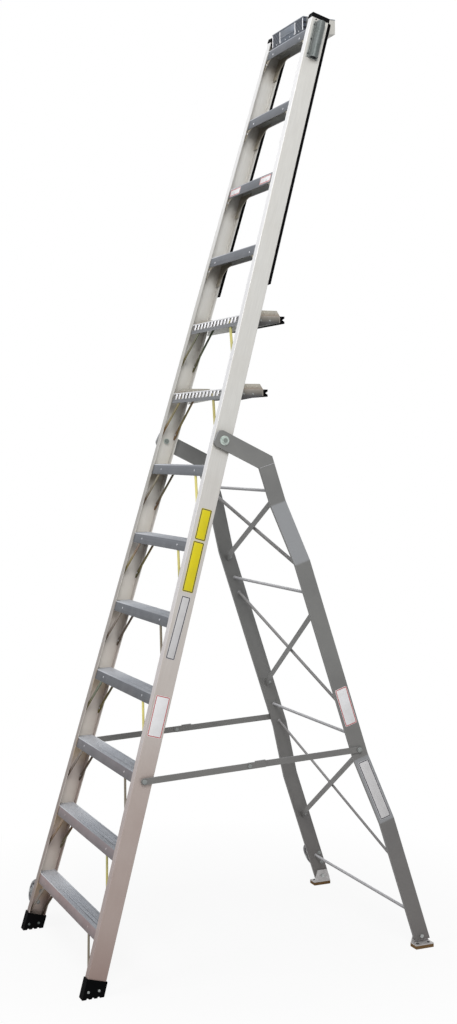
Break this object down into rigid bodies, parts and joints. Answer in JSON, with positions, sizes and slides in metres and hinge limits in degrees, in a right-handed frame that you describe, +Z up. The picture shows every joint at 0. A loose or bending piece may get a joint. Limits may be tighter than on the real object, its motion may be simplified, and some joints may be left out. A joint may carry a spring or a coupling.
{
  "type": "aircraft maintenance ladder",
  "caption": "Tapered folding access ladder with flat treads, deep standing platforms, a top tool tray, a braced rear support with spreaders, swivel shoes and side wheels.",
  "frame": {"origin": "floor point on the mid-plane, halfway between the front foot line and the rear feet", "axes": "+X to the climber's right, +Y from the climbing side to the rear support, +Z up"},
  "size_m": [1.0697, 1.5081, 3.8239],
  "materials": {
    "rail_aluminium": "mill finish",
    "tread_aluminium": "mill finish, ribbed",
    "platform_aluminium": "pressed sheet",
    "sheet_aluminium": "bright sheet",
    "zinc_brace": "yellow zinc plate",
    "grey_paint": "grey powder coat",
    "bolt_steel": "bright zinc",
    "black_rubber": "moulded rubber",
    "black_plastic": "moulded",
    "tan_pad": "grip pad",
    "wheel_plastic": "moulded",
    "wheel_rubber": "grey rubber"
  },
  "bodies": {
    "climbing_section": {"front_rail_right": "rail_aluminium", "front_rail_left": "rail_aluminium", "tread_01": "tread_aluminium", "tread_02": "tread_aluminium", "tread_03": "tread_aluminium", "tread_04": "tread_aluminium", "tread_05": "tread_aluminium", "tread_06": "tread_aluminium", "tread_07": "tread_aluminium", "tread_10": "tread_aluminium", "tread_11": "tread_aluminium", "tread_12": "tread_aluminium", "tread_13": "tread_aluminium", "platform_08": "platform_aluminium", "platform_09": "platform_aluminium", "platform_side_plates": "platform_aluminium", "platform_brackets": "grey_paint", "platform_bumpers": "black_rubber", "knee_braces_right": "zinc_brace", "knee_braces_left": "zinc_brace", "corner_gussets_right": "sheet_aluminium", "corner_gussets_left": "sheet_aluminium", "tool_tray": "sheet_aluminium", "front_boot_right": "black_rubber", "front_boot_left": "black_rubber", "rail_caps": "black_plastic", "edge_trims": "black_rubber", "accessory_socket_right": "sheet_aluminium", "accessory_socket_left": "sheet_aluminium", "fold_pivot_bolts": "bolt_steel", "fold_pivot_bushes": "black_plastic", "spreader_studs": "bolt_steel", "front_wheel_fork": "grey_paint", "front_wheel_axle": "bolt_steel"},
    "rear_section": {"rear_arm_right": "grey_paint", "rear_arm_left": "grey_paint", "rear_leg_right": "grey_paint", "rear_leg_left": "grey_paint", "cross_rods": "bolt_steel", "cross_brace_rods": "grey_paint", "cross_brace_straps": "grey_paint", "shoe_bolts": "bolt_steel", "rear_wheel_fork": "grey_paint", "rear_wheel_axle": "bolt_steel"},
    "front_wheel": {"front_wheel_hub": "wheel_plastic", "front_wheel_tyre": "wheel_rubber"},
    "rear_wheel": {"rear_wheel_hub": "wheel_plastic", "rear_wheel_tyre": "wheel_rubber"},
    "spreader_front_right": {"spreader_front_link_right": "grey_paint", "spreader_pin_right": "bolt_steel"},
    "spreader_rear_right": {"spreader_rear_link_right": "grey_paint"},
    "shoe_right": {"rear_shoe_right": "bolt_steel", "shoe_pad_right": "tan_pad"},
    "spreader_front_left": {"spreader_front_link_left": "grey_paint", "spreader_pin_left": "bolt_steel"},
    "spreader_rear_left": {"spreader_rear_link_left": "grey_paint"},
    "shoe_left": {"rear_shoe_left": "bolt_steel", "shoe_pad_left": "tan_pad"}
  },
  "joints": [
    {"name": "rear_fold", "type": "hinge", "parent": "climbing_section", "child": "rear_section", "pos_m": [0, -0.08795, 2.10427], "axis": [-1, 0, 0], "range_deg": [0, 34]},
    {"name": "spreader_front_right_turn", "type": "hinge", "parent": "climbing_section", "child": "spreader_front_right", "pos_m": [0.39278, -0.46144, 0.80176], "axis": [1, 0, 0], "range_deg": [0, 75.69]},
    {"name": "spreader_rear_right_turn", "type": "hinge", "parent": "spreader_front_right", "child": "spreader_rear_right", "pos_m": [0.39515, -0.0197, 0.82014], "axis": [-1, 0, 0], "range_deg": [0, 163.45]},
    {"name": "shoe_right_swivel", "type": "hinge", "parent": "rear_section", "child": "shoe_right", "pos_m": [0.44945, 0.73098, 0.045], "axis": [1, 0, 0], "range_deg": [-9, 9]},
    {"name": "spreader_front_left_turn", "type": "hinge", "parent": "climbing_section", "child": "spreader_front_left", "pos_m": [-0.39278, -0.46144, 0.80176], "axis": [1, 0, 0], "range_deg": [0, 75.69]},
    {"name": "spreader_rear_left_turn", "type": "hinge", "parent": "spreader_front_left", "child": "spreader_rear_left", "pos_m": [-0.39515, -0.0197, 0.82014], "axis": [-1, 0, 0], "range_deg": [0, 163.45]},
    {"name": "shoe_left_swivel", "type": "hinge", "parent": "rear_section", "child": "shoe_left", "pos_m": [-0.44945, 0.73098, 0.045], "axis": [1, 0, 0], "range_deg": [-9, 9]},
    {"name": "front_wheel_spin", "type": "hinge", "parent": "climbing_section", "child": "front_wheel", "pos_m": [-0.49887, -0.65258, 0.13518], "axis": [0, 0.9613, -0.2756], "continuous": true},
    {"name": "rear_wheel_spin", "type": "hinge", "parent": "rear_section", "child": "rear_wheel", "pos_m": [-0.52815, 0.71186, 0.12974], "axis": [0, 0.9511, 0.309], "continuous": true}
  ],
  "couplings": [
    {"joint": "spreader_front_right_turn", "follows": "rear_fold", "ratio": 2.2246},
    {"joint": "spreader_rear_right_turn", "follows": "rear_fold", "ratio": 4.8058},
    {"joint": "spreader_front_left_turn", "follows": "rear_fold", "ratio": 2.2246},
    {"joint": "spreader_rear_left_turn", "follows": "rear_fold", "ratio": 4.8058}
  ]
}
